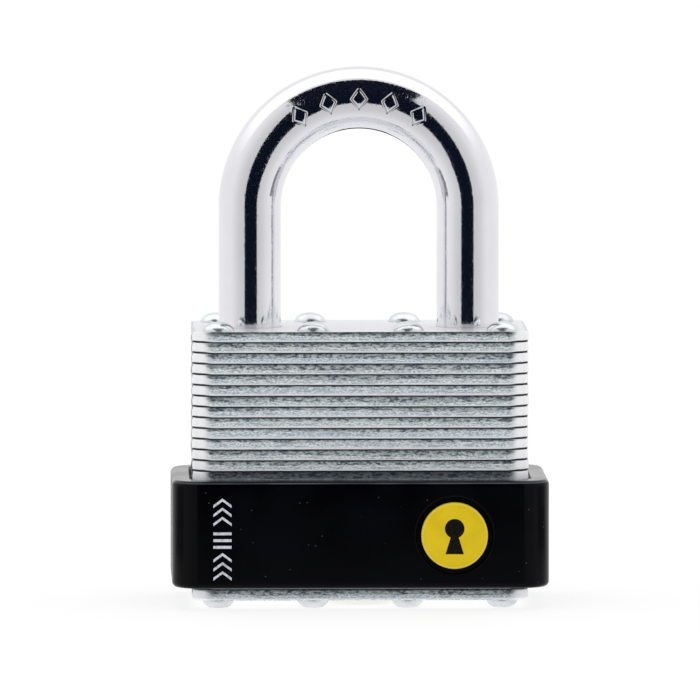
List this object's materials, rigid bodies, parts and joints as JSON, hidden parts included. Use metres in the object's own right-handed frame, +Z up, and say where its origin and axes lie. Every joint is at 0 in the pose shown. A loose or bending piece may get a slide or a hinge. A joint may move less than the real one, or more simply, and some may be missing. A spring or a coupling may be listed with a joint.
{
  "type": "laminated padlock",
  "caption": "Laminated steel padlock with a lifting U shackle, twin bolts driven by a pin tumbler cylinder, a black bumper band and a round yellow badge.",
  "frame": {"origin": "below the centre of the body, on the surface that the lower rivet heads stand on", "axes": "+X to the right seen from the badge side, +Y to the back, +Z up along the shackle legs"},
  "size_m": [0.056, 0.031, 0.0801],
  "materials": {
    "plate_steel": "zinc-plated steel, punched edges with a smooth rolled corner and a grainy break",
    "rivet_steel": "bright zinc plate on formed heads",
    "shackle_chrome": "polished bright plate with fine draw marks",
    "bumper_plastic": "smooth moulded black plastic",
    "badge_yellow": "satin yellow enamel with a black keyhole",
    "print_white": "thin pad-printed white ink",
    "print_black": "thin printed black ink of the keyhole on the badge",
    "housing_brass": "turned",
    "plug_brass": "turned face with concentric tool marks",
    "pin_brass": "turned",
    "bolt_steel": "ground",
    "spring_steel": "drawn wire"
  },
  "bodies": {
    "lock_body": {"plate_01": "plate_steel", "plate_02": "plate_steel", "plate_03": "plate_steel", "plate_04": "plate_steel", "plate_05": "plate_steel", "plate_06": "plate_steel", "plate_07": "plate_steel", "plate_08": "plate_steel", "plate_09": "plate_steel", "plate_10": "plate_steel", "plate_11": "plate_steel", "plate_12": "plate_steel", "plate_13": "plate_steel", "plate_14": "plate_steel", "plate_15": "plate_steel", "plate_16": "plate_steel", "plate_17": "plate_steel", "plate_18": "plate_steel", "plate_19": "plate_steel", "plate_20": "plate_steel", "plate_21": "plate_steel", "plate_22": "plate_steel", "plate_23": "plate_steel", "plate_24": "plate_steel", "plate_25": "plate_steel", "rivets": "rivet_steel", "bumper": "bumper_plastic", "badge": "badge_yellow", "shackle_stop_pin": "spring_steel", "cylinder_housing": "housing_brass", "chamber_cover": "housing_brass", "driver_spring_1": "spring_steel", "driver_spring_2": "spring_steel", "driver_spring_3": "spring_steel", "driver_spring_4": "spring_steel", "driver_spring_5": "spring_steel", "ejector_spring": "spring_steel", "bolt_spring": "spring_steel"},
    "shackle": {"shackle": "shackle_chrome"},
    "plug": {"plug": "plug_brass", "plug_clip": "spring_steel", "drive_cam": "bolt_steel"},
    "bolt_left": {"bolt_left": "bolt_steel"},
    "bolt_right": {"bolt_right": "bolt_steel"},
    "key_pin_1": {"key_pin_1": "pin_brass"},
    "driver_pin_1": {"driver_pin_1": "pin_brass"},
    "key_pin_2": {"key_pin_2": "pin_brass"},
    "driver_pin_2": {"driver_pin_2": "pin_brass"},
    "key_pin_3": {"key_pin_3": "pin_brass"},
    "driver_pin_3": {"driver_pin_3": "pin_brass"},
    "key_pin_4": {"key_pin_4": "pin_brass"},
    "driver_pin_4": {"driver_pin_4": "pin_brass"},
    "key_pin_5": {"key_pin_5": "pin_brass"},
    "driver_pin_5": {"driver_pin_5": "pin_brass"}
  },
  "joints": [
    {"name": "shackle_lift", "type": "slide", "parent": "lock_body", "child": "shackle", "axis": [0, 0, 1], "range_m": [0, 0.0145], "deforming": ["ejector_spring"]},
    {"name": "plug_turn", "type": "hinge", "parent": "lock_body", "child": "plug", "pos_m": [0, -0.002, 0.00125], "axis": [0, 0, 1], "range_deg": [-90, 0]},
    {"name": "bolt_left_slide", "type": "slide", "parent": "lock_body", "child": "bolt_left", "axis": [-1, 0, 0], "range_m": [0, 0.00283], "deforming": ["bolt_spring"]},
    {"name": "bolt_right_slide", "type": "slide", "parent": "lock_body", "child": "bolt_right", "axis": [1, 0, 0], "range_m": [0, 0.00283], "deforming": ["bolt_spring"]},
    {"name": "key_pin_1_slide", "type": "slide", "parent": "plug", "child": "key_pin_1", "axis": [1, 0, 0], "range_m": [0, 0.001]},
    {"name": "driver_pin_1_slide", "type": "slide", "parent": "lock_body", "child": "driver_pin_1", "axis": [0, 1, 0], "range_m": [0, 0.001], "stiffness_N_per_m": 25, "deforming": ["driver_spring_1"]},
    {"name": "key_pin_2_slide", "type": "slide", "parent": "plug", "child": "key_pin_2", "axis": [1, 0, 0], "range_m": [0, 0.001]},
    {"name": "driver_pin_2_slide", "type": "slide", "parent": "lock_body", "child": "driver_pin_2", "axis": [0, 1, 0], "range_m": [0, 0.001], "stiffness_N_per_m": 25, "deforming": ["driver_spring_2"]},
    {"name": "key_pin_3_slide", "type": "slide", "parent": "plug", "child": "key_pin_3", "axis": [1, 0, 0], "range_m": [0, 0.001]},
    {"name": "driver_pin_3_slide", "type": "slide", "parent": "lock_body", "child": "driver_pin_3", "axis": [0, 1, 0], "range_m": [0, 0.001], "stiffness_N_per_m": 25, "deforming": ["driver_spring_3"]},
    {"name": "key_pin_4_slide", "type": "slide", "parent": "plug", "child": "key_pin_4", "axis": [1, 0, 0], "range_m": [0, 0.001]},
    {"name": "driver_pin_4_slide", "type": "slide", "parent": "lock_body", "child": "driver_pin_4", "axis": [0, 1, 0], "range_m": [0, 0.001], "stiffness_N_per_m": 25, "deforming": ["driver_spring_4"]},
    {"name": "key_pin_5_slide", "type": "slide", "parent": "plug", "child": "key_pin_5", "axis": [1, 0, 0], "range_m": [0, 0.001]},
    {"name": "driver_pin_5_slide", "type": "slide", "parent": "lock_body", "child": "driver_pin_5", "axis": [0, 1, 0], "range_m": [0, 0.001], "stiffness_N_per_m": 25, "deforming": ["driver_spring_5"]}
  ],
  "couplings": [
    {"joint": "plug_turn", "follows": "bolt_left_slide", "rad_per_m": -555.36},
    {"joint": "bolt_right_slide", "follows": "bolt_left_slide", "ratio": 1}
  ]
}
